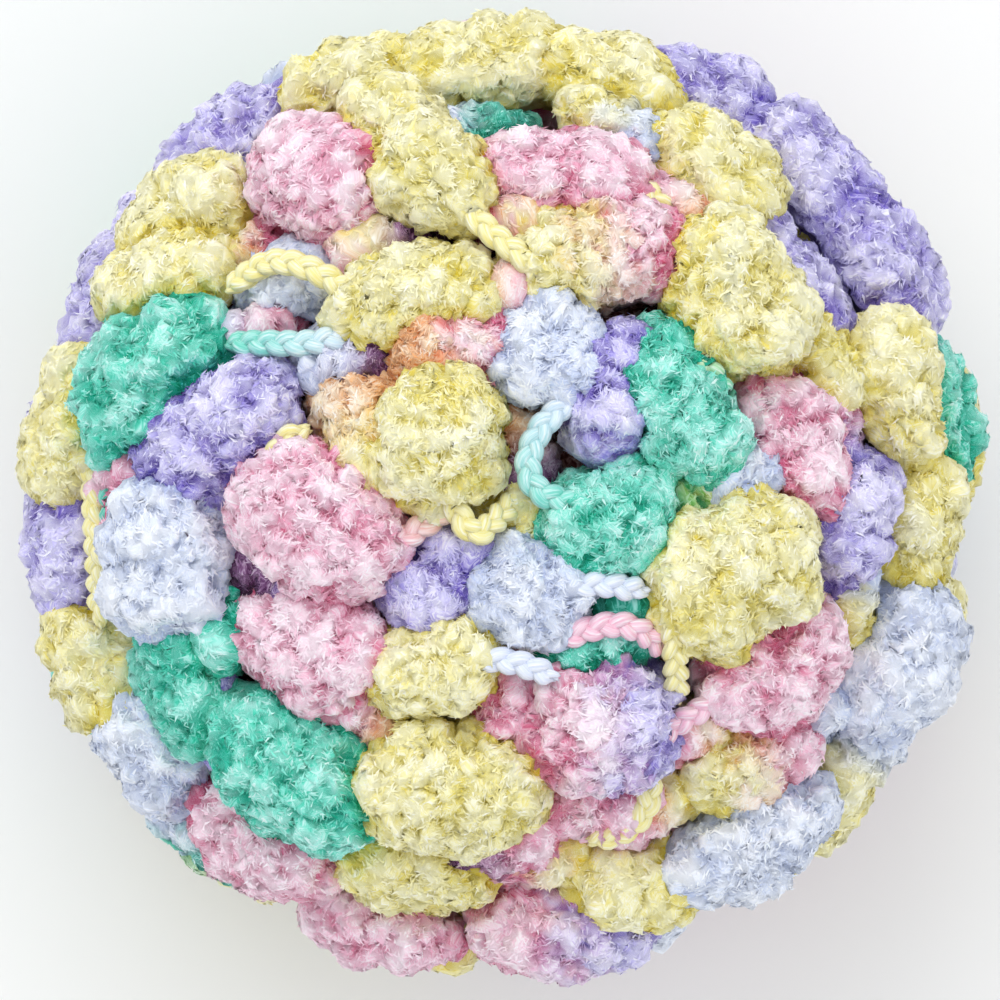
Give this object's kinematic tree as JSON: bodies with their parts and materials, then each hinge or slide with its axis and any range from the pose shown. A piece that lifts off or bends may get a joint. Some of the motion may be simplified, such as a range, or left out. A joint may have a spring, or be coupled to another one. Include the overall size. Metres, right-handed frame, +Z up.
{
  "type": "wound ball of pom pom yarn",
  "caption": "Soft ball of space-dyed pom pom yarn: pastel pompoms on a knitted chain cord, wound round and resting on a small flat spot.",
  "frame": {"origin": "middle of the flat spot that the ball rests on", "axes": "+Z up through the crown of the ball, +Y to the top of the picture, +X to its right"},
  "size_m": [0.1893, 0.1901, 0.1286],
  "materials": {
    "brushed_yarn": "matt, soft curly pile, space dyed in pastel lemon, mint, lilac, rose and white"
  },
  "bodies": {
    "root": {"wound_ball": "brushed_yarn"}
  },
  "joints": []
}
